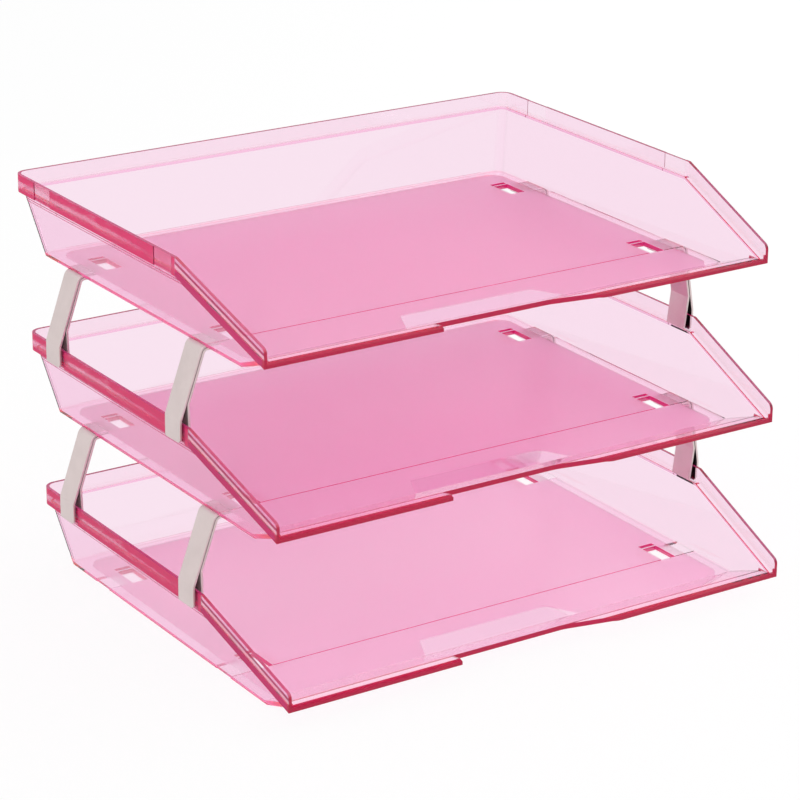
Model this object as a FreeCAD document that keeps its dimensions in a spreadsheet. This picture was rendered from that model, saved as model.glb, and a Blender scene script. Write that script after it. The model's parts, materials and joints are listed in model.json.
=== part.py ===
# Three landscape letter trays stacked on folded steel risers.
# X runs across the trays, -Y is the open front, +Z is up. The origin is the middle of the footprint,
# on the surface that the bottom tray stands on. Each tray stands set_back behind the one below it.
import FreeCAD, Part
import math
import os
import Sketcher

DIMENSIONS = {
    # moulded tray
    "tray_width": 361.6,            # across the outer faces of the rim band
    "tray_depth": 280.0,            # front lip to the back of the rim band
    "tray_height": 51.5,            # underside to the top of the level rim
    "base_thickness": 3.0,
    "wall_thickness": 2.0,
    "side_flare": 8.9,              # how far a wall leans out between its foot and the ledge
    "base_corner_radius": 5.0,
    "foot_bevel": 1.0,
    "band_height": 11.0,            # upright band around the top of the walls
    "band_thickness": 2.0,
    "band_corner_radius": 8.0,
    "ledge_step": 3.3,              # how far the band stands out from the wall
    "ledge_thickness": 2.0,
    "rim_front_height": 21.5,       # top of the rim at the front end of the side walls
    "rim_end_radius": 4.0,
    "rim_fall_length": 84.0,        # front stretch over which the side rims fall
    # front lip
    "lip_length": 35.0,             # front stretch whose underside rises off the table
    "lip_nose_length": 10.0,        # flatter last stretch of the lip
    "lip_nose_foot": 9.2,           # underside height where the flatter stretch starts
    "lip_height": 11.0,             # underside height at the front edge
    "notch_depth": 10.5,            # thumb notch in the front edge
    "notch_left_reach": 58.0,       # from the middle of the tray to the square end of the notch
    "notch_right_reach": 53.0,      # from the middle of the tray to the open end of its curve
    "notch_curve_length": 33.0,
    "notch_curve_radius": 20.0,
    # base details
    "groove_width": 0.8,
    "groove_depth": 0.4,
    "groove_clearance": 1.0,        # cut above the base's surface, so that the groove opens fully
    "window_inset": 16.6,           # from the foot of the wall to the outer edge of a base window
    "window_width": 10.5,
    "window_front_reach": 10.0,     # from the riser's centre line
    "window_back_reach": 14.0,
    "window_bar_start": 9.4,        # thin bar across the back end of the window
    "window_bar_width": 1.4,
    "seat_depth": 1.6,              # shallow recess under the base that takes a riser's tab
    "seat_wall": 1.2,               # between the recess and the window
    "locator_depth": 0.4,           # shallow recess in the band that takes a riser's leg
    "locator_width": 20.0,
    # stack
    "level_pitch": 97.0,
    "set_back": 12.0,
    "front_riser_station": 98.0,    # from a tray's front edge to the risers that stand on it
    "back_riser_station": 243.0,
    "riser_lean": 5.0,              # how far forward a riser's tab is from its feet
    "fit_gap": 0.3,
    # folded strip riser
    "strip_width": 17.0,
    "strip_thickness": 1.5,
    "fold_gap": 0.3,                # between the two layers of the fold
    "fold_radius": 0.85,            # centre line radius of the folded end
    "top_bend_radius": 4.5,
    "leg_bend_radius": 3.0,
    "stem_standout": 2.0,           # top of the stem outside the foot of the upper tray's wall
    "outer_leg_rise": 2.7,          # outer leg's bend above the rim
    "outer_leg_drop": 10.5,         # outer leg's end below the rim
    "outer_leg_gap": 1.0,           # between the outer leg and the floor of the band's recess
    "inner_leg_gap": 1.75,          # between the inner leg's foot and the inner face of the rim band
    "inner_leg_splay": 1.4,         # how far inwards the inner leg runs from its bend to its foot
    "foot_corner_radius": 3.0,
}

LEVELS = ["bottom", "middle", "top"]
MARGIN = "10"                       # how far cutting shapes reach past what they cut

# Expressions shared by several sketches, in tray coordinates: Y = 0 is the middle of the tray's depth.
BAND_HALF = "d.tray_width / 2"
BAND_IN = f"({BAND_HALF} - d.band_thickness)"
LEDGE_UNDER = "(d.tray_height - d.band_height)"
LEDGE_TOP = f"({LEDGE_UNDER} + d.ledge_thickness)"
LEAN = f"(d.side_flare / {LEDGE_UNDER})"
BASE_HALF = f"({BAND_HALF} - d.ledge_step - d.side_flare)"
FRONT = "(-d.tray_depth / 2)"
BACK = "(d.tray_depth / 2)"
BASE_BACK = f"({BACK} - d.ledge_step - d.side_flare)"
KINK = f"({FRONT} + d.rim_fall_length)"
RIM_FALL = "(d.tray_height - d.rim_front_height)"
BAND_FRONT_HALF = f"({BAND_HALF} - {RIM_FALL} * {LEAN})"
LIP_START = f"({FRONT} + d.lip_length)"
LIP_KNEE = f"({FRONT} + d.lip_nose_length)"
LIP_RATE = "((d.lip_height - d.lip_nose_foot) / d.lip_nose_length)"
WINDOW_OUT = f"({BASE_HALF} - d.window_inset)"
SEAT_IN = f"({WINDOW_OUT} + d.seat_wall)"
STATIONS = {"front": f"({FRONT} + d.front_riser_station)", "back": f"({FRONT} + d.back_riser_station)"}


def beyond(value, edge, rate):
    """Value at the cutting margin past an edge, on a line that falls at the given rate."""
    return f"({value} - {rate} * ({edge}))"


def wall_outside(height):
    """Half width over the outer faces of the walls at a height."""
    return f"({BASE_HALF} + ({height}) * {LEAN})"


def wall_inside(height):
    return f"({wall_outside(height)} - d.wall_thickness)"


def fill_sheet(doc):
    sheet = doc.addObject("Spreadsheet::Sheet", "d")
    for row, (name, value) in enumerate(DIMENSIONS.items(), start=1):
        sheet.set(f"A{row}", name)
        sheet.set(f"B{row}", str(value))
        sheet.setAlias(f"B{row}", name)
    doc.recompute()
    return sheet


def plane_of(body, role):
    return next(item for item in body.Origin.OriginFeatures if item.Role == role)


def new_sketch(body, name, role="XY_Plane", offset="0"):
    """Sketch on one of the body's own origin planes, moved along the plane's normal."""
    sketch = body.newObject("Sketcher::SketchObject", name)
    sketch.AttachmentSupport = [(plane_of(body, role), "")]
    sketch.MapMode = "FlatFace"
    sketch.setExpression("AttachmentOffset.Base.z", offset)
    return sketch


def pin(sketch, geometry, end, corner):
    """Hold one end of a line, or a point, at a pair of expressions."""
    for kind, expression in zip(("DistanceX", "DistanceY"), corner):
        value = float(sketch.evalExpression(expression))
        index = sketch.addConstraint(Sketcher.Constraint(kind, -1, 1, geometry, end, value))
        sketch.setExpression(f"Constraints[{index}]", expression)


def trace(sketch, corners, radii=None, closed=True):
    """Draw lines through the corners. A corner with a radius is rounded by a tangent arc."""
    radii = radii or {}
    spots = [FreeCAD.Vector(*(float(sketch.evalExpression(part)) for part in corner)) for corner in corners]
    count = len(corners)
    starts = list(spots)
    ends = list(spots)
    arcs = {}
    for at, radius in radii.items():
        before = (spots[at - 1] - spots[at]).normalize()
        after = (spots[(at + 1) % count] - spots[at]).normalize()
        half = before.getAngle(after) / 2
        size = float(sketch.evalExpression(radius))
        reach = size / math.tan(half)
        middle = spots[at] + (before + after).normalize() * (size ** 2 + reach ** 2) ** 0.5
        ends[at] = spots[at] + before * reach
        starts[at] = spots[at] + after * reach
        nearest = middle + (spots[at] - middle).normalize() * size
        arcs[at] = Part.Arc(ends[at], nearest, starts[at])
    sides = count if closed else count - 1
    lines = []
    for at in range(sides):
        following = (at + 1) % count
        lines.append(sketch.addGeometry(Part.LineSegment(starts[at], ends[following])))
    for at in range(count):
        incoming = lines[at - 1] if closed or at > 0 else None
        outgoing = lines[at] if closed or at < count - 1 else None
        if at in radii:
            round_corner(sketch, arcs[at], (incoming, outgoing), corners[at], radii[at])
        elif outgoing is None:
            pin(sketch, incoming, 2, corners[at])
        else:
            pin(sketch, outgoing, 1, corners[at])
            if incoming is not None:
                sketch.addConstraint(Sketcher.Constraint("Coincident", incoming, 2, outgoing, 1))


def round_corner(sketch, arc, lines, corner, radius):
    """Tangent arc between two lines whose own corner stays held at its place."""
    curve = sketch.addGeometry(arc)
    corner_point = sketch.addGeometry(Part.Point(FreeCAD.Vector(
        *(float(sketch.evalExpression(part)) for part in corner))), True)
    pin(sketch, corner_point, 1, corner)
    start = sketch.getPoint(curve, 1)
    meets = 1 if start.distanceToPoint(sketch.getPoint(lines[0], 2)) < 1e-6 else 2
    sketch.addConstraint(Sketcher.Constraint("Tangent", lines[0], 2, curve, meets))
    sketch.addConstraint(Sketcher.Constraint("Tangent", lines[1], 1, curve, 3 - meets))
    for line in lines:
        sketch.addConstraint(Sketcher.Constraint("PointOnObject", corner_point, 1, line))
    index = sketch.addConstraint(Sketcher.Constraint("Radius", curve, sketch.Geometry[curve].Radius))
    sketch.setExpression(f"Constraints[{index}]", radius)


def outline_sketch(body, name, height, half_width, back):
    """Plan outline at a height, square at the front and with rounded corners at the back."""
    sketch = new_sketch(body, name, "XY_Plane", height)
    corners = [(f"-{half_width}", FRONT), (half_width, FRONT), (half_width, back), (f"-{half_width}", back)]
    radius = "d.base_corner_radius"
    trace(sketch, corners, {2: radius, 3: radius})
    return sketch


def loft(body, kind, name, sketches):
    feature = body.newObject(f"PartDesign::{kind}", name)
    feature.Profile = sketches[0]
    feature.Sections = sketches[1:]
    feature.Ruled = True
    return feature


def pocket(body, name, sketch, depth=None, both_ways=False):
    """Cut a sketch into the body: to a depth along the sketch's normal, or right through."""
    feature = body.newObject("PartDesign::Pocket", name)
    feature.Profile = sketch
    feature.SideType = "Symmetric" if both_ways else "One side"
    feature.Reversed = not both_ways
    if depth is None:
        feature.Type = "ThroughAll"
    else:
        feature.Type = "Length"
        feature.setExpression("Length", depth)
    return feature


def tub_walls(body):
    """Leaning outer walls, from a bevelled foot to the top of the rim band."""
    bevel = "d.foot_bevel"
    foot = outline_sketch(body, "FootOutline", "0", f"({BASE_HALF} - {bevel})", f"({BASE_BACK} - {bevel})")
    sections = [foot]
    for name, height in (("BevelOutline", bevel), ("CrownOutline", "d.tray_height")):
        back = f"({BASE_BACK} + {height} * {LEAN})"
        sections.append(outline_sketch(body, name, height, wall_outside(height), back))
    loft(body, "AdditiveLoft", "Tub", sections)


def side_cut(body, name, corners):
    """Cut a side profile through the whole width. Corners are Y and Z expressions."""
    sketch = new_sketch(body, f"{name}Profile", "YZ_Plane")
    trace(sketch, corners)
    return pocket(body, name, sketch, both_ways=True)


def shape_side_profile(body):
    """Trim the tub below the rising lip and above the middle of the rim band."""
    tail = f"({FRONT} - {MARGIN})"
    lip_tip = beyond("d.lip_height", f"-{MARGIN}", LIP_RATE)
    side_cut(body, "LipUnderside", [
        (LIP_START, "0"), (LIP_KNEE, "d.lip_nose_foot"), (tail, lip_tip), (tail, f"-{MARGIN}"),
        (LIP_START, f"-{MARGIN}")])
    middle = "(d.tray_height - d.band_height / 2)"
    front_middle = beyond(
        "d.rim_front_height - d.band_height / 2", MARGIN, f"{RIM_FALL} / d.rim_fall_length")
    above = f"(d.tray_height + {MARGIN})"
    side_cut(body, "WallTops", [
        (tail, front_middle), (KINK, middle), (f"({BACK} + {MARGIN})", middle),
        (f"({BACK} + {MARGIN})", above),
        (tail, above)])


def trace_band(sketch, half, front_half, back, radius):
    """Plan of the band: straight sides that draw in where the rim falls, and round back corners."""
    rate = f"({half} - {front_half}) / d.rim_fall_length"
    tip_half = beyond(front_half, MARGIN, rate)
    tip = f"({FRONT} - {MARGIN})"
    trace(sketch, [
        (f"-{tip_half}", tip), (tip_half, tip), (half, KINK), (half, back), (f"-{half}", back),
        (f"-{half}", KINK)], {3: radius, 4: radius})


def rim_band(body):
    """Upright band and ledge, a slab that follows the rim and is hollowed later."""
    sketch = new_sketch(body, "BandProfile", "YZ_Plane")
    low = "d.rim_front_height - d.band_height"
    trace(sketch, [
        (FRONT, low), (KINK, LEDGE_UNDER), (BACK, LEDGE_UNDER), (BACK, "d.tray_height"),
        (KINK, "d.tray_height"), (FRONT, "d.rim_front_height")], {5: "d.rim_end_radius"})
    band = body.newObject("PartDesign::Pad", "RimBand")
    band.Profile = sketch
    band.SideType = "Symmetric"
    band.setExpression("Length", "d.tray_width")
    plan = new_sketch(body, "BandPlan")
    far = f"({BAND_HALF} + {MARGIN})"
    tail = f"({FRONT} - 2 * {MARGIN})"
    rear = f"({BACK} + {MARGIN})"
    trace(plan, [(f"-{far}", tail), (far, tail), (far, rear), (f"-{far}", rear)])
    trace_band(plan, BAND_HALF, BAND_FRONT_HALF, BACK, "d.band_corner_radius")
    pocket(body, "BandTrim", plan, both_ways=True)


def trapezoid(body, name, station, floor, roof, low_half, high_half):
    """Upright section across the tray at a Y station, from a floor height to a roof height."""
    sketch = new_sketch(body, name, "XZ_Plane", f"-({station})")
    trace(sketch, [(f"-{low_half}", floor), (low_half, floor), (high_half, roof), (f"-{high_half}", roof)])
    return sketch


def hollow(body):
    """Room for the paper: inside the leaning walls, over the flat base and over the lip."""
    roof = f"(d.tray_height + {MARGIN})"
    radius = "d.base_corner_radius"
    sections = []
    for name, height in (("FloorOutline", "d.base_thickness"), ("RoofOutline", roof)):
        sketch = new_sketch(body, name, "XY_Plane", height)
        half = wall_inside(height)
        back = f"({BASE_BACK} + {height} * {LEAN} - d.wall_thickness)"
        trace(sketch, [
            (f"-{half}", LIP_START), (half, LIP_START), (half, back), (f"-{half}", back)],
            {2: radius, 3: radius})
        sections.append(sketch)
    loft(body, "SubtractiveLoft", "Hollow", sections)
    stations = [
        ("LipHollowBack", f"({LIP_START} + {MARGIN})", "d.base_thickness"),
        ("LipHollowFoot", LIP_START, "d.base_thickness"),
        ("LipHollowKnee", LIP_KNEE, "(d.lip_nose_foot + d.base_thickness)"),
        ("LipHollowTip", f"({FRONT} - {MARGIN})",
         f"(d.lip_height + d.base_thickness + {LIP_RATE} * {MARGIN})"),
    ]
    sections = [
        trapezoid(body, name, station, floor, roof, wall_inside(floor), wall_inside(roof))
        for name, station, floor in stations]
    loft(body, "SubtractiveLoft", "LipHollow", sections)


def hollow_band(body):
    """Open the band above its ledge: level along the back and sides, then following the fall."""
    roof = f"(d.tray_height + {MARGIN})"
    level = new_sketch(body, "BandHollowPlan", "XY_Plane", LEDGE_TOP)
    back = f"({BACK} - d.band_thickness)"
    radius = "(d.band_corner_radius - d.band_thickness)"
    trace(level, [
        (f"-{BAND_IN}", KINK), (BAND_IN, KINK), (BAND_IN, back), (f"-{BAND_IN}", back)],
        {2: radius, 3: radius})
    pocket(body, "BandHollow", level, roof)
    fall = f"({RIM_FALL} / d.rim_fall_length)"
    draw_in = f"({RIM_FALL} * {LEAN} / d.rim_fall_length)"
    reach = f"(d.rim_fall_length + {MARGIN})"
    tip_ledge = f"({LEDGE_TOP} - {fall} * {reach})"
    tip_half = f"({BAND_IN} - {draw_in} * {reach})"
    sections = [
        trapezoid(body, "FallHollowBack", KINK, LEDGE_TOP, roof, BAND_IN, BAND_IN),
        trapezoid(body, "FallHollowTip", f"({FRONT} - {MARGIN})", tip_ledge, roof, tip_half, tip_half)]
    loft(body, "SubtractiveLoft", "FallHollow", sections)


def rectangle(sketch, left, right, front, back):
    trace(sketch, [(left, front), (right, front), (right, back), (left, back)])


def under_station(station):
    """Where a tray rests on the tabs of the risers whose feet stand at a station of the tray below."""
    return f"({station} - d.set_back - d.riser_lean)"


def riser_details(body, place, station):
    """Base windows, underside seats and band recesses for the risers at one station, both sides."""
    under = under_station(station)
    window_in = f"({WINDOW_OUT} - d.window_width)"
    bar = f"({under} + d.window_bar_start)"
    seat_half = "(d.strip_width / 2 + d.fit_gap)"
    windows = new_sketch(body, f"{place}Windows")
    seats = new_sketch(body, f"{place}Seats")
    locators = new_sketch(body, f"{place}Locators")
    for sign in ("", "-"):
        inner = f"{sign}{window_in}"
        outer = f"{sign}{WINDOW_OUT}"
        rectangle(windows, inner, outer, f"({under} - d.window_front_reach)", bar)
        rectangle(windows, inner, outer, f"({bar} + d.window_bar_width)", f"({under} + d.window_back_reach)")
        rectangle(
            seats, f"{sign}{SEAT_IN}", f"{sign}({BASE_HALF} + {MARGIN})", f"({under} - {seat_half})",
            f"({under} + {seat_half})")
        rectangle(
            locators, f"{sign}({BAND_HALF} - d.locator_depth)", f"{sign}({BAND_HALF} + {MARGIN})",
            f"({station} - d.locator_width / 2)", f"({station} + d.locator_width / 2)")
    pocket(body, f"{place}WindowCut", windows, "2 * d.base_thickness")
    pocket(body, f"{place}SeatCut", seats, "d.seat_depth")
    pocket(body, f"{place}LocatorCut", locators)


def front_notch(body):
    """Thumb notch in the lip: a square step at its left end, an S curve at its right end."""
    sketch = new_sketch(body, "NotchPlan")
    left = "-d.notch_left_reach"
    inner = f"({FRONT} + d.notch_depth)"
    tail = f"({FRONT} - {MARGIN})"
    curve_start = "(d.notch_right_reach - d.notch_curve_length)"
    trace(sketch, [
        (left, tail), ("d.notch_right_reach + d.notch_curve_length", tail),
        ("d.notch_right_reach + d.notch_curve_length", FRONT), ("d.notch_right_reach", FRONT),
        (curve_start, inner), (left, inner)],
        {3: "d.notch_curve_radius", 4: "d.notch_curve_radius"})
    pocket(body, "Notch", sketch)


def base_groove(body):
    """Shallow groove across the base, in line with the front edge of the front windows."""
    sketch = new_sketch(body, "GroovePlan", "XY_Plane", "d.base_thickness - d.groove_depth")
    line = f"({under_station(STATIONS['front'])} - d.window_front_reach)"
    half = wall_inside("d.base_thickness")
    rectangle(sketch, f"-{half}", half, f"({line} - d.groove_width / 2)", f"({line} + d.groove_width / 2)")
    pocket(body, "Groove", sketch, "d.groove_depth + d.groove_clearance")


def letter_tray(doc, level):
    body = doc.addObject("PartDesign::Body", f"{LEVELS[level]}_tray")
    body.Label = f"{LEVELS[level]}_tray"
    tub_walls(body)
    shape_side_profile(body)
    rim_band(body)
    hollow(body)
    hollow_band(body)
    for place, station in STATIONS.items():
        riser_details(body, place.capitalize(), station)
    front_notch(body)
    base_groove(body)
    body.setExpression("Placement.Base.y", f"{level - 1} * d.set_back")
    body.setExpression("Placement.Base.z", f"{level} * d.level_pitch")
    return body


def riser_path(sign):
    """Corners and bend radii of the folded strip's centre line, on the side that the sign gives.

    It runs up the outer leg and stem, in under the upper tray to the folded end of the tab, and back
    under itself, down to the inner leg that stands on the lower tray's ledge."""
    layer = "(d.strip_thickness + d.fold_gap)"
    half = "d.strip_thickness / 2"
    out = f"({BAND_HALF} - d.locator_depth + d.outer_leg_gap + {half})"
    inside = f"({BAND_IN} - d.inner_leg_gap - {half})"
    tab = f"(d.level_pitch + d.seat_depth - {half})"
    bend = "(d.tray_height + d.outer_leg_rise)"
    top = f"({BASE_HALF} + d.stem_standout)"
    slope = f"(({out} - {top}) / ({tab} - {bend}))"
    offset = f"({layer} * sqrt(1 + {slope} ^ 2))"
    tip = f"({SEAT_IN} + d.fit_gap + {half})"
    waist = f"({inside} + d.inner_leg_splay)"
    inner_bend = f"({tab} - ({waist} + {offset} - {top}) / {slope})"
    route = [
        (out, "(d.tray_height - d.outer_leg_drop)", None),
        (out, bend, "d.leg_bend_radius"),
        (top, tab, "d.top_bend_radius"),
        (tip, tab, "d.fold_radius"),
        (tip, f"({tab} - {layer})", "d.fold_radius"),
        (f"({top} + {layer} * {slope} - {offset})", f"({tab} - {layer})", f"d.top_bend_radius - {layer}"),
        (waist, inner_bend, "d.leg_bend_radius"),
        (inside, f"({LEDGE_TOP} + d.fit_gap)", None),
    ]
    return [(f"{sign}{across}", up, radius) for across, up, radius in route]


def lean_strip(body):
    """Trim the strip to its width: upright at the feet, leaning forward up to the tab."""
    foot = "d.strip_width / 2"
    low = "(d.tray_height - d.outer_leg_drop)"
    bend = "(d.tray_height + d.outer_leg_rise)"
    high = f"(d.level_pitch - {MARGIN} / 2)"
    above = f"(d.level_pitch + {MARGIN})"
    around = f"(d.strip_width + {MARGIN})"
    sketch = new_sketch(body, "LeanOutline", "YZ_Plane")
    rectangle(sketch, f"-{around}", around, f"({low} - {MARGIN})", f"({above} + {MARGIN})")
    trace(sketch, [
        (f"-{foot}", low), (foot, low), (foot, bend), (f"({foot} - d.riser_lean)", high),
        (f"({foot} - d.riser_lean)", above), (f"(-{foot} - d.riser_lean)", above),
        (f"(-{foot} - d.riser_lean)", high), (f"-{foot}", bend)], {0: "d.foot_corner_radius"})
    pocket(body, "Lean", sketch, both_ways=True)


def folded_riser(doc, label, level, side, station):
    """One steel strip, folded double and swept along its bent centre line."""
    body = doc.addObject("PartDesign::Body", label)
    body.Label = label
    route = riser_path("" if side == "right" else "-")
    path = new_sketch(body, "StripPath", "XZ_Plane")
    radii = {at: radius for at, (across, up, radius) in enumerate(route) if radius}
    trace(path, [(across, up) for across, up, radius in route], radii, closed=False)
    section = new_sketch(body, "StripSection", "XY_Plane", route[0][1])
    centre = route[0][0]
    rectangle(
        section, f"({centre} - d.strip_thickness / 2)", f"({centre} + d.strip_thickness / 2)",
        "(-d.strip_width / 2 - d.riser_lean)", "d.strip_width / 2")
    strip = body.newObject("PartDesign::AdditivePipe", "Strip")
    strip.Profile = section
    strip.Spine = (path, [])
    strip.Mode = "Binormal"
    strip.Binormal = FreeCAD.Vector(0, 1, 0)
    lean_strip(body)
    body.setExpression("Placement.Base.y", f"{station} + {level - 1} * d.set_back")
    body.setExpression("Placement.Base.z", f"{level} * d.level_pitch")
    return body


def build():
    doc = FreeCAD.newDocument("LetterTrayStack")
    fill_sheet(doc)
    pieces = [letter_tray(doc, level) for level in range(len(LEVELS))]
    for level, tier in enumerate(("lower", "upper")):
        for side in ("left", "right"):
            for place, station in STATIONS.items():
                pieces.append(folded_riser(doc, f"{tier}_{side}_{place}_riser", level, side, station))
    doc.recompute()
    return doc, pieces


def check(doc, pieces):
    for item in doc.Objects:
        if "Invalid" in item.State or "Error" in item.State:
            raise RuntimeError(f"{item.Name} did not build: {item.State}")
    for piece in pieces:
        if piece.Shape.isNull() or not piece.Shape.isValid() or len(piece.Shape.Solids) != 1:
            raise RuntimeError(f"{piece.Label} is not one valid solid")


def export(pieces):
    os.makedirs("parts", exist_ok=True)
    for piece in pieces:
        piece.Shape.exportStep(f"parts/{piece.Label}.step")


document, sub_parts = build()
check(document, sub_parts)
export(sub_parts)
for sub_part in sub_parts:
    box = sub_part.Shape.BoundBox
    print(sub_part.Label, round(sub_part.Shape.Volume), [round(value, 1) for value in (
        box.XMin, box.XMax, box.YMin, box.YMax, box.ZMin, box.ZMax)])
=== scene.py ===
# %% [markdown]
# # A letter tray stack in clear tinted plastic
# Three open trays are carried one above another on folded steel risers. The trays come from the
# imported model, which already holds the real shapes; the risers are swept again here from its values.
# What is left to make is how they look: a clear plastic with a deep red glow painted on at its cut edges
# and rim, a base frosted from below, and plain satin steel with painted shade inside its folds.

# %% Load the imported model
import json
import math

import bpy
from mathutils import Euler, Matrix, Vector

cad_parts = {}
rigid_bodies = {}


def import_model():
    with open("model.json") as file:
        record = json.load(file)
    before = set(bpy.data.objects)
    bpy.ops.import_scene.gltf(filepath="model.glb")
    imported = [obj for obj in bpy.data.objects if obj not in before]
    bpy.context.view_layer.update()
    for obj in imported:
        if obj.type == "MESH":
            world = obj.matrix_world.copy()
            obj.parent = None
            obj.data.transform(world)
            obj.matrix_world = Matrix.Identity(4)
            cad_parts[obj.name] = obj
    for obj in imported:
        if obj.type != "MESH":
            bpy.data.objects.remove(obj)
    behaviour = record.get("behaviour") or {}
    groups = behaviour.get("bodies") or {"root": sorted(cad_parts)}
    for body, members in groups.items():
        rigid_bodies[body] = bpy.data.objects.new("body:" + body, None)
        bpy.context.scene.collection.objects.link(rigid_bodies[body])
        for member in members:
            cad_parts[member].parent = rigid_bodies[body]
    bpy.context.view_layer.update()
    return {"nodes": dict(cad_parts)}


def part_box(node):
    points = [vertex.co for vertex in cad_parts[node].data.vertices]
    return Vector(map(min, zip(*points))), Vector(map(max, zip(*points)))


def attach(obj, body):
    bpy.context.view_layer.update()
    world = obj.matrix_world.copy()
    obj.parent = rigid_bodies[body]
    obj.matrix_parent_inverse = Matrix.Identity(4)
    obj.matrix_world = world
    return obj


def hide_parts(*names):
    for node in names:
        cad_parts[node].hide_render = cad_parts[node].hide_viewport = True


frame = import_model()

LEVELS = ("bottom", "middle", "top")
TRAYS = [f"{level}_tray" for level in LEVELS]
RISERS = [name for name in frame["nodes"] if name.endswith("_riser")]
print("trays:", TRAYS, "risers:", len(RISERS))

# %% [markdown]
# ## The camera
# A long lens from far away keeps the trays' edges nearly parallel. The camera is placed by its point in
# space, its heading round the upright axis, how far it looks down, and a slight roll.

# %% Camera
CAMERA_PLACE = Vector((-0.96509, -1.44694, 0.76644))
CAMERA_HEADING = math.radians(-33.66)
CAMERA_LOOK_DOWN = math.radians(20.63)
CAMERA_ROLL = math.radians(0.59)
SENSOR_WIDTH = 36.0
PHOTO_WIDTH = 800
FOCAL_PIXELS = 3062.0


def place_camera():
    data = bpy.data.cameras.new("camera")
    data.sensor_width = SENSOR_WIDTH
    data.lens = FOCAL_PIXELS * SENSOR_WIDTH / PHOTO_WIDTH
    data.clip_start = 0.05
    data.clip_end = 50.0
    camera = bpy.data.objects.new("camera", data)
    bpy.context.scene.collection.objects.link(camera)
    aim = Euler((math.pi / 2 - CAMERA_LOOK_DOWN, 0.0, CAMERA_HEADING)).to_matrix()
    camera.matrix_world = Matrix.Translation(CAMERA_PLACE) @ (
        aim @ Matrix.Rotation(CAMERA_ROLL, 3, "Z")).to_4x4()
    bpy.context.scene.camera = camera
    return camera


camera = place_camera()
print("lens", round(camera.data.lens, 1), "mm")

# %% [markdown]
# ## Writing materials as sums
# A node material is a small calculation. `Value` wraps one output socket and overloads the arithmetic
# signs, so a mask can be written as `1 - edge * 0.5`, and `Shader.add` makes any other node.

# %% Node helpers
class Value:
    """One output socket that can be added, subtracted, multiplied and raised to a power."""

    def __init__(self, shader, socket):
        self.shader = shader
        self.socket = socket

    def _math(self, operation, *terms):
        return self.shader.add("ShaderNodeMath", {"operation": operation}, dict(enumerate(terms)))

    def __add__(self, other):
        return self._math("ADD", self, other)

    __radd__ = __add__

    def __sub__(self, other):
        return self._math("SUBTRACT", self, other)

    def __rsub__(self, other):
        return self._math("SUBTRACT", other, self)

    def __mul__(self, other):
        return self._math("MULTIPLY", self, other)

    __rmul__ = __mul__

    def __abs__(self):
        return self._math("ABSOLUTE", self)

    def __pow__(self, other):
        return self._math("POWER", self, other)

    def least(self, other):
        return self._math("MINIMUM", self, other)

    def most(self, other):
        return self._math("MAXIMUM", self, other)


class Shader:
    """One material's node tree."""

    def __init__(self, name):
        self.material = bpy.data.materials.new(name)
        self.material.use_nodes = True
        self.tree = self.material.node_tree
        self.tree.nodes.clear()

    def add(self, kind, settings=None, inputs=None, output=0):
        """Make a node: its settings first, then its sockets' values or links."""
        node = self.tree.nodes.new(kind)
        for name, value in (settings or {}).items():
            setattr(node, name, value)
        for name, value in (inputs or {}).items():
            socket = node.inputs[name]
            if isinstance(value, Value):
                self.tree.links.new(value.socket, socket)
            else:
                socket.default_value = value
        return Value(self, node.outputs[output])

    def place(self, offset=(0.0, 0.0, 0.0)):
        """Object coordinates moved so that the offset becomes the origin, split into X, Y and Z."""
        coords = self.add("ShaderNodeTexCoord", output=3)
        moved = self.add("ShaderNodeVectorMath", {"operation": "SUBTRACT"}, {0: coords, 1: offset})
        parts = self.tree.nodes.new("ShaderNodeSeparateXYZ")
        self.tree.links.new(moved.socket, parts.inputs[0])
        return moved, [Value(self, socket) for socket in parts.outputs]

    def ramp_between(self, value, low, high):
        """0 below low, 1 above high, smooth between."""
        return self.add(
            "ShaderNodeMapRange", {"interpolation_type": "SMOOTHSTEP"},
            {"Value": value, "From Min": low, "From Max": high})

    def mix_colour(self, factor, first, second):
        return self.add(
            "ShaderNodeMix", {"data_type": "RGBA"}, {0: factor, 6: first, 7: second}, output=2)

    def finish(self, surface, volume=None):
        output = self.tree.nodes.new("ShaderNodeOutputMaterial")
        self.tree.links.new(surface.socket, output.inputs["Surface"])
        if volume is not None:
            self.tree.links.new(volume.socket, output.inputs["Volume"])
        return self.material


def linear(red, green, blue):
    """A colour written as it shows on screen, as the linear values that shaders use."""
    def one(value):
        return value / 12.92 if value <= 0.04045 else ((value + 0.055) / 1.055) ** 2.4
    return (*(one(value / 255) for value in (red, green, blue)), 1.0)


print("a mid grey of 128 is", round(linear(128, 128, 128)[0], 3), "in linear light")

# %% [markdown]
# ## Clear tinted plastic
# Clear plastic bends light, and takes colour out of it all along the way. A wall 2 mm thick looks pale,
# but light that travels along the sheet to a cut edge arrives deep red. So the tint is an absorption in
# the volume; the deep red at the cut edges and the rim is painted on as well, as a glow further below.
# Light bounces many times between the two faces of a sheet before it reaches an edge, and each time
# counts as a bounce: with the usual limit of 12 the edges go black, so the limits are raised. A path
# tracer takes clear plastic as a full shadow caster, so for shadow rays the surface is swapped for a
# transparent one: the lower trays then get lamp light too.

# %% Plastic values
PLASTIC_IOR = 1.49
LOSS_RED, LOSS_GREEN, LOSS_BLUE = 2.0, 98.0, 42.0      # of the light, per metre
CLEAR_ROUGHNESS = 0.02
FROST_ROUGHNESS = 0.5
SATIN_ROUGHNESS = 0.3
SHADOW_TINT = (0.935, 0.955, 0.955, 1.0)               # of lamp light, at each face it crosses
MOST_BOUNCES = 32
cycles = bpy.context.scene.cycles
cycles.max_bounces = MOST_BOUNCES
cycles.transmission_bounces = MOST_BOUNCES
cycles.glossy_bounces = MOST_BOUNCES
print("a 2 mm wall keeps this share of green:", round(math.exp(-LOSS_GREEN * 0.002), 2))
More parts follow.
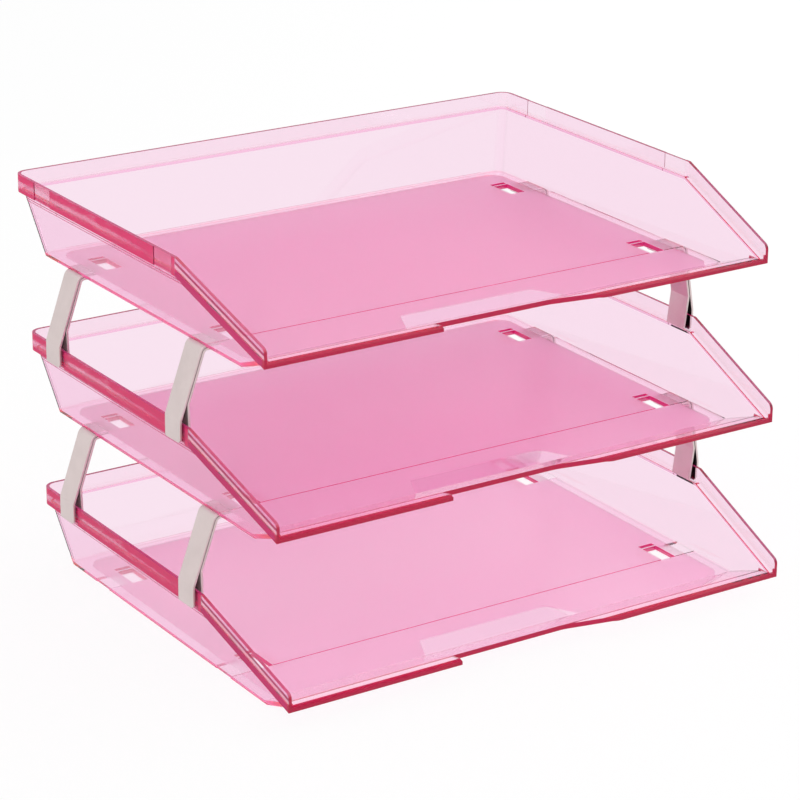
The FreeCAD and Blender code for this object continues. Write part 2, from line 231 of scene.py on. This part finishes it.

# %% [markdown]
# ## Where on the tray a point is
# The finishes follow the moulding: a frosted field under the base that stops short of the walls and of
# the thumb notch, and a satin top face over it. A painted glow follows it too, on the cut edges and on the
# rim band. All trays are alike, so each material reads Object coordinates, moved to the tray's own middle.
# A rounded rectangle is written as a distance, which is below zero inside it. Lengths across are from the
# middle, lengths along run from the front to the back, and heights are from the underside.

# %% Tray coordinates, in metres
MM = 0.001
FROST_HALF_WIDTH, FROST_FRONT, FROST_BACK, FROST_CORNER = 160 * MM, -105 * MM, 119.5 * MM, 10 * MM
PATCH_LEFT, PATCH_RIGHT, PATCH_DEPTH = -60 * MM, 54 * MM, 20 * MM
RIM_HALF_WIDTH, RIM_BACK, RIM_CORNER = 180.8 * MM, 140 * MM, 8 * MM
RIM_TOP, RIM_KINK, RIM_SLOPE = 51.5 * MM, -56 * MM, 30 / 84
BAND_HEIGHT, LEDGE_STEP, WALL_LEAN = 11 * MM, 3.3 * MM, 8.9 / 40.5
LIP_FRONT, NOTCH_BACK = -140 * MM, -129.5 * MM
LIP_HALF_WIDTH, LIP_TOP, LIP_ROLL = 169.5 * MM, 15.5 * MM, 2 * MM     # the roll is the lip's rounded edge
NOSE_LENGTH, NOSE_DEPTH = 4.2 * MM, 4.5 * MM                          # where a side wall ends in front
UNDERSIDE_TOP, SATIN_LOW, SATIN_HIGH = 0.35 * MM, 2.6 * MM, 3.4 * MM
WINDOW_LOW, WINDOW_HIGH, WINDOW_REACH, WINDOW_FRONT = 0.4 * MM, 3.1 * MM, 152.6 * MM, -90 * MM
LOCATORS = (-42 * MM, 103 * MM)
WINDOWS = (-59 * MM, 86 * MM)
tray_low, tray_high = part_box("bottom_tray")
print("tray size, mm:", [round(1000 * side, 1) for side in tray_high - tray_low])


class TrayShader(Shader):
    """A node tree that knows where on its tray a point lies."""

    def __init__(self, name, level):
        super().__init__(name)
        low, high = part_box(f"{LEVELS[level]}_tray")
        self.point, (self.across, self.along, self.height) = self.place(
            ((low.x + high.x) / 2, (low.y + high.y) / 2, low.z))
        facing = self.add("ShaderNodeNewGeometry", output=1)
        parts = self.tree.nodes.new("ShaderNodeSeparateXYZ")
        self.tree.links.new(facing.socket, parts.inputs[0])
        self.facing_x, self.facing_y, self.facing_z = (abs(Value(self, socket)) for socket in parts.outputs)
        self.from_outside = 1 - Value(self, facing.socket.node.outputs["Backfacing"])

    def above(self, value, edge, soft=0.0001):
        return self.ramp_between(value, edge - soft, edge + soft)

    def below(self, value, edge, soft=0.0001):
        return 1 - self.above(value, edge, soft)

    def between(self, value, low, high, soft=0.0001):
        return self.above(value, low, soft) * self.below(value, high, soft)

    def rounded_box(self, half_width, front, back, corner):
        """Distance from a rounded rectangle in the tray's plan."""
        past_side = abs(self.across) - (half_width - corner)
        past_end = abs(self.along - (front + back) / 2) - ((back - front) / 2 - corner)
        outside = (past_side.most(0.0) ** 2.0 + past_end.most(0.0) ** 2.0) ** 0.5
        return outside + past_side.most(past_end).least(0.0) - corner

    def frosted(self):
        """1 on the frosted underside of the base, and 1 on the satin top face over it."""
        underside = self.below(self.height, UNDERSIDE_TOP)
        top = self.between(self.height, SATIN_LOW, SATIN_HIGH) * self.above(self.facing_z, 0.9, 0.05)
        left = self.add("ShaderNodeMapRange", {}, {
            "Value": self.across, "From Min": PATCH_LEFT, "From Max": PATCH_LEFT + 9 * MM})
        right = 1 - self.ramp_between(self.across, PATCH_RIGHT - 16 * MM, PATCH_RIGHT)
        behind_patch = self.above(self.along - PATCH_DEPTH * left * right, FROST_FRONT)
        inside = self.below(
            self.rounded_box(FROST_HALF_WIDTH, FROST_FRONT, FROST_BACK, FROST_CORNER), 0.0, 0.2 * MM)
        return underside * inside * behind_patch, top * inside * behind_patch

    def below_rim(self):
        """How far a point is below the top of the rim, which falls towards the front."""
        return RIM_TOP - (RIM_KINK - self.along).most(0.0) * RIM_SLOPE - self.height

    def cut_edges(self):
        """Two masks: the front lip, and the top of the rim with the ends of the side walls."""
        lip = self.below(self.along, NOTCH_BACK + 1 * MM) * self.below(self.facing_z, 0.5, 0.1)
        lip = lip * self.below(abs(self.across), LIP_HALF_WIDTH)
        roll = self.below(self.along, LIP_FRONT + LIP_ROLL, 0.2 * MM) * self.below(self.height, LIP_TOP)
        front = self.below(self.along, LIP_FRONT + 0.3 * MM) * self.above(self.facing_y, 0.9, 0.05)
        depth = self.below_rim()
        top = self.below(depth, 0.3 * MM) * self.above(self.facing_z, 0.5, 0.1)
        nose = self.below(self.along, LIP_FRONT + NOSE_LENGTH) * self.below(self.facing_x, 0.3)
        nose = nose * self.below(depth, NOSE_DEPTH) * self.above(abs(self.across), LIP_HALF_WIDTH)
        return lip.most(front).most(roll), top.most(nose)

    def window_walls(self):
        """1 on the cut faces of the windows in the base."""
        cut = self.between(self.height, WINDOW_LOW, WINDOW_HIGH)
        cut = cut * self.below(abs(self.across), WINDOW_REACH)
        return cut * self.above(self.along, WINDOW_FRONT) * self.below(self.facing_z, 0.5)

    def outside(self):
        """1 on the outer faces of the band and, below its ledge, of the walls."""
        depth = self.below_rim()
        plan = self.rounded_box(RIM_HALF_WIDTH, -2 * RIM_BACK, RIM_BACK, RIM_CORNER)
        plan = plan + (RIM_KINK - self.along).most(0.0) * (RIM_SLOPE * WALL_LEAN)
        plan = plan + self.above(depth, BAND_HEIGHT) * LEDGE_STEP
        plan = plan + (depth - BAND_HEIGHT).most(0.0) * WALL_LEAN
        return self.above(plan, -0.8 * MM) * self.below(self.facing_z, 0.4) * self.from_outside

    def from_station(self, stations):
        """How far a point is from the nearer station along the tray."""
        return abs(self.along - stations[0]).least(abs(self.along - stations[1]))


# %% [markdown]
# ## The plastic itself
# One Principled shader bends and mirrors the light, and a Volume Absorption tints it. Two layers are
# mixed over it. The frost under the base scatters light both ways, with a fine grain, and holds a painted
# shade beside each window. The deep red light that the sheets gather and pass out at the cut edges and
# the rim is painted: a thin scattering layer in glow colours, with painted dark lines and a painted
# highlight, stands in for the countless paths that end there. A mask decides how much of each layer a
# point gets.

# %% The frosted base
CLEAR_TINT = (0.95, 0.94, 0.95, 1.0)
FROST_SHARE = 0.68
FROST_PALE, FROST_DEEP = linear(255, 253, 254), linear(252, 243, 248)
# Painted shade: a darker pink on the frost just inboard of each window.
BESIDE_WINDOW_SHADE = linear(236, 120, 172)
BESIDE_NEAR, BESIDE_FAR, BESIDE_HALF_LENGTH = 134.5 * MM, 142.5 * MM, 11 * MM     # inboard of a window
FROST_LIT = linear(255, 250, 253)


def clear_plastic(shader, frost, satin, haze, speckle):
    """Glass-like plastic with a faint unevenness, rougher where it is frosted or satin."""
    bump = shader.add(
        "ShaderNodeBump", {}, {"Strength": 0.02, "Distance": 0.0002, "Height": haze + frost * speckle})
    return shader.add("ShaderNodeBsdfPrincipled", inputs={
        "Base Color": CLEAR_TINT, "IOR": PLASTIC_IOR, "Transmission Weight": 1.0, "Normal": bump,
        "Roughness": (
            CLEAR_ROUGHNESS + haze * 0.02 + satin * SATIN_ROUGHNESS
            + frost * (FROST_ROUGHNESS + speckle * 0.1))})


def frosting(shader, speckle):
    """The etched underside: it scatters light from above and lets through light from below."""
    # Painted shade, a darker pink, on the frost just inboard of each window.
    shade_beside = shader.between(abs(shader.across), BESIDE_NEAR, BESIDE_FAR, 1.5 * MM)
    shade_beside = shade_beside * shader.below(shader.from_station(WINDOWS), BESIDE_HALF_LENGTH, 2 * MM)
    grain = shader.mix_colour(speckle, FROST_PALE, FROST_DEEP)
    shade = shader.mix_colour(shade_beside * 0.6, grain, BESIDE_WINDOW_SHADE)
    scattered = shader.add("ShaderNodeBsdfPrincipled", inputs={
        "Base Color": shade, "Roughness": 0.9, "Specular IOR Level": 0.0})
    lit_through = shader.add("ShaderNodeBsdfTranslucent", inputs={"Color": FROST_LIT})
    return shader.add("ShaderNodeMixShader", inputs={0: 0.5, 1: scattered, 2: lit_through})


print("share of a frosted point that is frost:", FROST_SHARE)

# %% The painted glow of the edges
# Colours painted on as glow where light leaves the cut edges and the rim: reds, magentas and coral; plum for
# painted dark lines and painted shade; and a pale painted highlight.
EDGE_RED = linear(176, 18, 60)
BAND_RED = linear(214, 24, 100)
WINDOW_MAGENTA = linear(222, 10, 128)
DEEP_MAGENTA = linear(172, 0, 98)
PLUM = linear(96, 16, 58)
CORAL = linear(214, 116, 138)
PAINTED_GLINT = linear(252, 228, 242)
PALE_STRIPE = 4 * MM, 8 * MM                      # stripes are depths below the top of the rim
THIN_LINES = (14.3 * MM, 15.1 * MM), (16.0 * MM, 16.6 * MM)
TICK_END = 16.4 * MM
FALLING_DARK, FALLING_GLINT = (1.9 * MM, 3.6 * MM), (3.8 * MM, 5.6 * MM)
FALLING_LOW = 6.4 * MM, BAND_HEIGHT
RECESS_HALF_WIDTH, TICK = 10 * MM, (9.7 * MM, 10.3 * MM)
CORNER_LENGTH, CORNER_WIDTH = 6 * MM, 5 * MM
FAR_RIM_LENGTH = 10 * MM


def painted_band_light(shader):
    """Shares of painted red and magenta glow, painted plum dark lines and a pale painted highlight on the
    outer faces near the rim.
    """
    depth = shader.below_rim()
    outside = shader.outside()
    falling = shader.below(shader.along, RIM_KINK, 0.5 * MM)
    streak = shader.add("ShaderNodeMapping", inputs={"Vector": shader.point, "Scale": (300.0, 60.0, 300.0)})
    uneven = shader.add("ShaderNodeTexNoise", inputs={"Vector": streak, "Scale": 1.0, "Detail": 4.0})
    away = shader.from_station(LOCATORS)
    recess = shader.below(away, RECESS_HALF_WIDTH, 0.2 * MM)
    # The painted red glow of the band: uneven along it, weaker in a pale stripe and in the recess at each
    # locator, and heavier at the back corners.
    pale = shader.between(depth, *PALE_STRIPE, 1.2 * MM) * (0.25 + shader.along * 2.0)
    red = (1.0 - pale) * (0.6 + uneven * 0.9) * (1 - recess * 0.4)
    red = red * shader.below(depth, BAND_HEIGHT) * (1 - falling)
    corner = shader.above(shader.along, RIM_BACK - CORNER_LENGTH, 2 * MM)
    corner = corner * shader.above(abs(shader.across), RIM_HALF_WIDTH - CORNER_WIDTH, 2 * MM)
    corner = corner * shader.below(depth, BAND_HEIGHT)
    # Painted magenta glow lines along the ledge; on the falling part a painted magenta glow low down, a
    # painted dark line and a painted highlight; painted dark ticks at the edges of each recess.
    lines = shader.between(depth, *THIN_LINES[0]).most(shader.between(depth, *THIN_LINES[1]))
    low = shader.between(depth, *FALLING_LOW, 0.2 * MM) * falling
    painted_dark = shader.between(depth, *FALLING_DARK, 0.25 * MM) * falling
    painted_glint = shader.between(depth, *FALLING_GLINT, 0.2 * MM) * falling
    ticks = shader.between(away, *TICK) * shader.below(depth, TICK_END) * (1 - falling)
    return (
        (red.most(corner * 0.9) * outside).least(1.0), (lines * 0.8).most(low * 0.95) * outside,
        (painted_dark * 0.9).most(ticks * 0.85) * outside, painted_glint * outside * 0.7)


def painted_glow(shader):
    """The painted glow, dark lines and highlight over the edges, and how much of it each point gets."""
    edge, rim = shader.cut_edges()
    red, magenta, plum, painted_glint = painted_band_light(shader)
    # Painted glow on the cut faces of the windows, on the lip, and on the top of the rim.
    window = shader.window_walls() * shader.from_outside * 0.85
    lip = edge * 0.9
    rim = rim * shader.from_outside * 0.75
    # Painted shade: the rim at the back and on the right half takes plum instead of glow colours.
    far = shader.above(shader.along, RIM_BACK - FAR_RIM_LENGTH, 2 * MM)
    far = far.most(shader.above(shader.across, 0.0))
    rim_colour = shader.mix_colour(shader.below(shader.along, RIM_KINK), DEEP_MAGENTA, CORAL)
    rim_colour = shader.mix_colour(far, rim_colour, PLUM)
    colour = shader.mix_colour(magenta, BAND_RED, DEEP_MAGENTA)
    colour = shader.mix_colour(plum, colour, PLUM)
    colour = shader.mix_colour(shader.above(painted_glint, 0.3, 0.1), colour, PAINTED_GLINT)
    colour = shader.mix_colour(rim, colour, rim_colour)
    colour = shader.mix_colour(window, colour, WINDOW_MAGENTA)
    colour = shader.mix_colour(lip, colour, EDGE_RED)
    above = shader.add("ShaderNodeBsdfPrincipled", inputs={
        "Base Color": colour, "Roughness": 0.3, "Specular IOR Level": 0.5})
    through = shader.add("ShaderNodeBsdfTranslucent", inputs={"Color": BAND_RED})
    painted_glow_layer = shader.add("ShaderNodeMixShader", inputs={0: 0.35, 1: above, 2: through})
    return painted_glow_layer, red.most(magenta).most(plum).most(painted_glint).most(window).most(lip).most(rim).least(1.0)


def tinted_plastic(level):
    """Clear plastic for one tray, with its frosted base and the glow painted on its edges."""
    shader = TrayShader(f"tinted_plastic_{LEVELS[level]}", level)
    speckle = shader.add("ShaderNodeTexNoise", inputs={"Vector": shader.point, "Scale": 900.0, "Detail": 3.0})
    haze = shader.add("ShaderNodeTexNoise", inputs={"Vector": shader.point, "Scale": 14.0, "Detail": 4.0})
    frost, satin = shader.frosted()
    clear = clear_plastic(shader, frost, satin, haze, speckle)
    surface = shader.add("ShaderNodeMixShader", inputs={
        0: frost * FROST_SHARE, 1: clear, 2: frosting(shader, speckle)})
    # The painted glow layer over the edges, rim and band.
    painted_glow_layer, share = painted_glow(shader)
    surface = shader.add("ShaderNodeMixShader", inputs={0: share, 1: surface, 2: painted_glow_layer})
    in_shadow = shader.add("ShaderNodeLightPath", output=1)
    let_through = shader.add("ShaderNodeBsdfTransparent", inputs={"Color": SHADOW_TINT})
    surface = shader.add("ShaderNodeMixShader", inputs={0: in_shadow, 1: surface, 2: let_through})
    densest = max(LOSS_RED, LOSS_GREEN, LOSS_BLUE)
    absorbed = shader.add("ShaderNodeVolumeAbsorption", inputs={
        "Color": tuple(1 - loss / densest for loss in (LOSS_RED, LOSS_GREEN, LOSS_BLUE)) + (1.0,),
        "Density": densest})
    return shader.finish(surface, absorbed)


for level, name in enumerate(TRAYS):
    for slot in bpy.data.objects[name].material_slots:
        slot.material = tinted_plastic(level)
    print(name, "is clear plastic")

# %% [markdown]
# ## Satin steel
# The risers are bent from rolled strip. Rolling leaves fine lines along the strip and an even satin
# gloss, so the bump is a noise stretched along the strip, and the roughness varies a little. Shade is
# painted on the faces that the fold shuts in, darkest on the risers at +X where those faces show a dark
# reflection: an attribute, made with the strip, tells the two sides apart.

# %% Steel
STEEL_LIGHT, STEEL_DULL, FOLD_SHADE = linear(224, 210, 208), linear(206, 192, 190), linear(46, 42, 44)
FOLD_ATTRIBUTE = "inside_fold"


def satin_steel():
    shader = Shader("riser_steel")
    point, (across, *_) = shader.place()
    stretched = shader.add(
        "ShaderNodeMapping", inputs={"Vector": point, "Scale": (60.0, 2600.0, 60.0)})
    lines = shader.add("ShaderNodeTexNoise", inputs={"Vector": stretched, "Scale": 1.0, "Detail": 4.0})
    cloud = shader.add("ShaderNodeTexNoise", inputs={"Vector": point, "Scale": 90.0, "Detail": 3.0})
    inside = shader.add("ShaderNodeAttribute", {"attribute_name": FOLD_ATTRIBUTE}, output=2)
    # Painted shade on the faces inside the fold; on the risers at +X it also stands for a dark reflection.
    painted_dark = shader.ramp_between(inside, 0.75, 0.95) * (0.3 + shader.ramp_between(across, -0.01, 0.01) * 0.7)
    colour = shader.mix_colour(cloud, STEEL_LIGHT, STEEL_DULL)
    colour = shader.mix_colour(painted_dark, colour, FOLD_SHADE)
    bump = shader.add("ShaderNodeBump", {}, {"Strength": 0.15, "Distance": 0.00005, "Height": lines})
    steel = shader.add("ShaderNodeBsdfPrincipled", inputs={
        "Base Color": colour, "Metallic": 0.75, "Roughness": 0.34 + lines * 0.12 + painted_dark * 0.2,
        "Normal": bump})
    return shader.finish(steel)


steel = satin_steel()
print("steel is", steel.name)

# %% [markdown]
# ## Folded strip risers
# Each riser is one strip that runs along a bent path: up the outer leg, in under the tray, round a tight
# fold and back down to the rim's ledge. That is a rule, so Geometry Nodes make it. The path's corners are
# plain points that carry their bend radius. Fillet Curve rounds them, Curve to Mesh sweeps the strip's
# section with softened edges, and Set Position leans it forward and rounds the foot. The four risers of
# one level come out as one piece, because they lift off together.

# %% Riser values, from the solid model, in metres
STRIP_WIDTH, STRIP_THICKNESS, STRIP_EDGE = 17 * MM, 1.5 * MM, 0.25 * MM
FOLD_GAP, FOLD_RADIUS = 0.3 * MM, 0.85 * MM
PITCH, SEAT_DEPTH = 97 * MM, 1.6 * MM
BASE_HALF = 168.6 * MM
LEG_OUT, LEG_WAIST, LEG_IN = 182.15 * MM, 177.7 * MM, 176.3 * MM
STEM_TOP = BASE_HALF + 2 * MM
LEG_BEND, LEG_END, LEDGE_TOP = 54.2 * MM, 41 * MM, 42.8 * MM
TAB_TIP = 154.25 * MM
LEAN, LEAN_TOP = 5 * MM, 92 * MM
FOOT_CORNER = 3 * MM
SEAT_AIR = 0.1 * MM           # air between tab and tray, so that the two faces never coincide
STATIONS = LOCATORS


def riser_corners():
    """Corners of the strip's centre line as (across, up, bend radius), from foot to foot."""
    layer = STRIP_THICKNESS + FOLD_GAP
    tab = PITCH + SEAT_DEPTH - STRIP_THICKNESS / 2
    slope = (LEG_OUT - STEM_TOP) / (tab - LEG_BEND)
    offset = layer * math.sqrt(1 + slope ** 2)
    inner_bend = tab - (LEG_WAIST + offset - STEM_TOP) / slope
    foot_steps = [(LEG_OUT, LEG_END + step * MM, 0.0) for step in (0.0, 0.3, 0.9, 1.8, 3.0)]
    return foot_steps + [
        (LEG_OUT, LEG_BEND, 3 * MM),
        (STEM_TOP, tab, 4.5 * MM),
        (TAB_TIP, tab, FOLD_RADIUS),
        (TAB_TIP, tab - layer, FOLD_RADIUS),
        (STEM_TOP + layer * slope - offset, tab - layer, 4.5 * MM - layer),
        (LEG_WAIST, inner_bend, 3 * MM),
        (LEG_IN, LEDGE_TOP, 0.0)]


print("corners on the path:", len(riser_corners()))

# %% The riser tree
class Tree:
    """A geometry node tree, and one method that adds any node to it."""

    def __init__(self, name):
        self.group = bpy.data.node_groups.new(name, "GeometryNodeTree")
        self.group.interface.new_socket("Geometry", in_out="INPUT", socket_type="NodeSocketGeometry")
        self.group.interface.new_socket("Geometry", in_out="OUTPUT", socket_type="NodeSocketGeometry")
        self.start = self.group.nodes.new("NodeGroupInput")
        self.end = self.group.nodes.new("NodeGroupOutput")

    def named_input(self, name, kind="NodeSocketFloat"):
        self.group.interface.new_socket(name, in_out="INPUT", socket_type=kind)
        return self.start.outputs[name]

    def add(self, kind, settings=None, inputs=None, output=0):
        node = self.group.nodes.new(kind)
        for name, value in (settings or {}).items():
            setattr(node, name, value)
        for name, value in (inputs or {}).items():
            if isinstance(value, bpy.types.NodeSocket):
                self.group.links.new(value, node.inputs[name])
            elif isinstance(value, list):
                for source in value:
                    self.group.links.new(source, node.inputs[name])
            else:
                node.inputs[name].default_value = value
        return node.outputs[output]

    def sum(self, operation, *terms):
        return self.add("ShaderNodeMath", {"operation": operation}, dict(enumerate(terms)))


def riser_tree():
    """Sweep, lean and round one strip, mirror it, and set it at both stations."""
    tree = Tree("folded strip risers")
    width = tree.named_input("Strip Width")
    thickness = tree.named_input("Strip Thickness")
    edge = tree.named_input("Edge Radius")
    lean = tree.named_input("Lean")
    lean_start = tree.named_input("Lean Start")
    lean_end = tree.named_input("Lean End")
    foot = tree.named_input("Foot")
    foot_corner = tree.named_input("Foot Corner")
    front = tree.named_input("Front Station")
    back = tree.named_input("Back Station")
    level = tree.named_input("Level Height")
    material = tree.named_input("Material", "NodeSocketMaterial")

    path = tree.add("GeometryNodeMeshToCurve", {}, {0: tree.start.outputs[0]})
    bend = tree.add("GeometryNodeInputNamedAttribute", {"data_type": "FLOAT"}, {"Name": "bend"})
    path = tree.add("GeometryNodeFilletCurve", {"mode": "POLY"}, {
        "Curve": path, "Count": 8, "Radius": bend, "Limit Radius": True})
    path = tree.add("GeometryNodeSetCurveNormal", {"mode": "FREE"}, {
        "Curve": path, "Normal": (0.0, 1.0, 0.0)})
    section = tree.add("GeometryNodeCurvePrimitiveQuadrilateral", {}, {"Width": width, "Height": thickness})
    section = tree.add("GeometryNodeFilletCurve", {"mode": "POLY"}, {
        "Curve": section, "Count": 3, "Radius": edge, "Limit Radius": True})
    place = tree.add("GeometryNodeInputPosition")
    axes = tree.add("ShaderNodeSeparateXYZ", {}, {0: place}, output=1)
    capture = tree.group.nodes.new("GeometryNodeCaptureAttribute")
    capture.capture_items.new("FLOAT", "Side")
    tree.group.links.new(section, capture.inputs["Geometry"])
    tree.group.links.new(axes, capture.inputs["Side"])
    strip = tree.add("GeometryNodeCurveToMesh", {}, {
        "Curve": path, "Profile Curve": capture.outputs["Geometry"], "Fill Caps": True})
    side = tree.sum("DIVIDE", capture.outputs["Side"], tree.sum("MULTIPLY", thickness, 0.5))
    strip = tree.add("GeometryNodeStoreNamedAttribute", {"data_type": "FLOAT", "domain": "POINT"}, {
        "Geometry": strip, "Name": FOLD_ATTRIBUTE, "Value": side})

    here = tree.group.nodes.new("ShaderNodeSeparateXYZ")
    tree.group.links.new(place, here.inputs[0])
    leaning = tree.add("ShaderNodeMapRange", {}, {
        "Value": here.outputs["Z"], "From Min": lean_start, "From Max": lean_end,
        "To Min": 0.0, "To Max": tree.sum("MULTIPLY", lean, -1.0)})
    short = tree.sum("SUBTRACT", foot_corner, tree.sum("SUBTRACT", here.outputs["Z"], foot))
    short = tree.sum("MAXIMUM", short, 0.0)
    chord = tree.sum("MULTIPLY", foot_corner, foot_corner)
    chord = tree.sum("SUBTRACT", chord, tree.sum("MULTIPLY", short, short))
    inset = tree.sum("SUBTRACT", foot_corner, tree.sum("SQRT", tree.sum("MAXIMUM", chord, 0.0)))
    share = tree.sum("SUBTRACT", 0.5, tree.sum("DIVIDE", here.outputs["Y"], width))
    along = tree.sum("ADD", leaning, tree.sum("MULTIPLY", inset, share))
    offset = tree.add("ShaderNodeCombineXYZ", {}, {"Y": along})
    strip = tree.add("GeometryNodeSetPosition", {}, {"Geometry": strip, "Offset": offset})
    mirrored = tree.add("GeometryNodeTransform", {}, {"Geometry": strip, "Scale": (-1.0, 1.0, 1.0)})
    mirrored = tree.add("GeometryNodeFlipFaces", {}, {"Mesh": mirrored})
    pair = tree.add("GeometryNodeJoinGeometry", {}, {"Geometry": [strip, mirrored]})

    stations = []
    for station in (front, back):
        spot = tree.add("ShaderNodeCombineXYZ", {}, {"Y": station, "Z": level})
        stations.append(tree.add("GeometryNodePoints", {}, {"Count": 1, "Position": spot}))
    points = tree.add("GeometryNodeJoinGeometry", {}, {"Geometry": stations})
    risers = tree.add("GeometryNodeInstanceOnPoints", {}, {"Points": points, "Instance": pair})
    risers = tree.add("GeometryNodeRealizeInstances", {}, {"Geometry": risers})
    risers = tree.add("GeometryNodeSetMaterial", {}, {"Geometry": risers, "Material": material})
    tree.group.links.new(risers, tree.end.inputs[0])
    return tree.group


risers_rule = riser_tree()
print("nodes in the riser tree:", len(risers_rule.nodes))

# %% The risers of each level
def path_object(name):
    corners = riser_corners()
    mesh = bpy.data.meshes.new(name)
    steps = [(at, at + 1) for at in range(len(corners) - 1)]
    mesh.from_pydata([(across, 0.0, up) for across, up, bend in corners], steps, [])
    bends = mesh.attributes.new("bend", "FLOAT", "POINT")
    bends.data.foreach_set("value", [bend for across, up, bend in corners])
    made = bpy.data.objects.new(name, mesh)
    bpy.context.scene.collection.objects.link(made)
    return made


def make_risers(name, level, body, nodes):
    """Four risers that stand on the given level's tray, as one plain mesh."""
    path = path_object(name)
    modifier = path.modifiers.new("risers", "NODES")
    modifier.node_group = risers_rule
    shift = (level - 1) * 12 * MM
    values = {
        "Strip Width": STRIP_WIDTH, "Strip Thickness": STRIP_THICKNESS, "Edge Radius": STRIP_EDGE,
        "Lean": LEAN, "Lean Start": LEG_BEND, "Lean End": LEAN_TOP,
        "Foot": LEG_END, "Foot Corner": FOOT_CORNER, "Front Station": STATIONS[0] + shift,
        "Back Station": STATIONS[1] + shift, "Level Height": level * PITCH - SEAT_AIR, "Material": steel}
    for item in risers_rule.interface.items_tree:
        if item.in_out == "INPUT" and item.name in values:
            modifier[item.identifier] = values[item.name]
    evaluated = path.evaluated_get(bpy.context.evaluated_depsgraph_get())
    mesh = bpy.data.meshes.new_from_object(evaluated)
    path.modifiers.clear()
    path.data = mesh
    mesh.polygons.foreach_set("use_smooth", [True] * len(mesh.polygons))
    mesh.set_sharp_from_angle(angle=math.radians(35))
    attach(path, body)
    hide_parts(*nodes)
    corners = [vertex.co for vertex in mesh.vertices]
    reach = [round(1000 * (max(c[i] for c in corners) - min(c[i] for c in corners)), 1) for i in range(3)]
    print(name, len(mesh.polygons), "faces, size in mm", reach)
    return path


for level, (tier, body) in enumerate((("lower", "middle_level"), ("upper", "top_level"))):
    nodes = [name for name in RISERS if name.startswith(tier)]
    make_risers(f"{tier}_risers", level, body, nodes)
    low = [min(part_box(name)[0][i] for name in nodes) for i in range(3)]
    high = [max(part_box(name)[1][i] for name in nodes) for i in range(3)]
    print("  the solids measure", [round(1000 * (b - a), 1) for a, b in zip(low, high)])

# %% [markdown]
# ## Floor, light and background
# The trays are see-through, so what stands behind them is half of how they look. The floor and the
# world are pale; rays that come straight from the camera, or through plastic or off metal, see them
# white, while the light that falls on the object stays at a plain level.

# %% Floor
FLOOR_HALF = 6.0
SUNK = 0.0002
SEEN_WHITE = 0.88             # how much of the floor the camera sees as plain white; the rest holds shadow


def white_floor():
    mesh = bpy.data.meshes.new("floor")
    signs = ((-1, -1), (1, -1), (1, 1), (-1, 1))
    mesh.from_pydata([(x * FLOOR_HALF, y * FLOOR_HALF, -SUNK) for x, y in signs], [], [(0, 1, 2, 3)])
    floor = bpy.data.objects.new("floor", mesh)
    bpy.context.scene.collection.objects.link(floor)
    shader = Shader("floor")
    seen = shader.add("ShaderNodeLightPath", output=0)
    glossy = Value(shader, seen.socket.node.outputs["Is Glossy Ray"])
    through = Value(shader, seen.socket.node.outputs["Is Transmission Ray"])
    matt = shader.add("ShaderNodeBsdfDiffuse", inputs={"Color": (0.9, 0.9, 0.9, 1.0)})
    lit = shader.add("ShaderNodeEmission", inputs={"Color": (1.0, 1.0, 1.0, 1.0), "Strength": 1.0})
    factor = (seen * SEEN_WHITE).most(glossy).most(through)
    both = shader.add("ShaderNodeMixShader", inputs={0: factor, 1: matt, 2: lit})
    mesh.materials.append(shader.finish(both))
    return floor


floor = white_floor()

# %% Light, places and sizes in metres, power in watts
WORLD_LIGHT = 0.7


def soft_lamp(name, place, size, power):
    data = bpy.data.lights.new(name, "AREA")
    data.size = size
    data.energy = power
    lamp = bpy.data.objects.new(name, data)
    bpy.context.scene.collection.objects.link(lamp)
    lamp.location = place
    lamp.rotation_euler = (-Vector(place)).to_track_quat("-Z", "Y").to_euler()
    return lamp


soft_lamp("key", (-1.6, -1.2, 2.2), 1.6, 22.0)
soft_lamp("fill", (1.8, -0.6, 1.8), 2.0, 15.0)
soft_lamp("side", (2.3, 0.6, 0.9), 1.8, 24.0)
world = bpy.data.worlds.new("studio")
bpy.context.scene.world = world
world.use_nodes = True
nodes = world.node_tree.nodes
links = world.node_tree.links
background = nodes["Background"]
background.inputs["Color"].default_value = (1.0, 1.0, 1.0, 1.0)
path = nodes.new("ShaderNodeLightPath")
seen = nodes.new("ShaderNodeMath")
seen.operation = "MAXIMUM"
either = nodes.new("ShaderNodeMath")
either.operation = "MAXIMUM"
links.new(path.outputs["Is Glossy Ray"], either.inputs[0])
links.new(path.outputs["Is Transmission Ray"], either.inputs[1])
links.new(path.outputs["Is Camera Ray"], seen.inputs[0])
links.new(either.outputs[0], seen.inputs[1])
strength = nodes.new("ShaderNodeMapRange")
strength.inputs["To Min"].default_value = WORLD_LIGHT
strength.inputs["To Max"].default_value = 1.0
links.new(seen.outputs[0], strength.inputs["Value"])
links.new(strength.outputs[0], background.inputs["Strength"])
bpy.context.scene.view_settings.view_transform = "Standard"
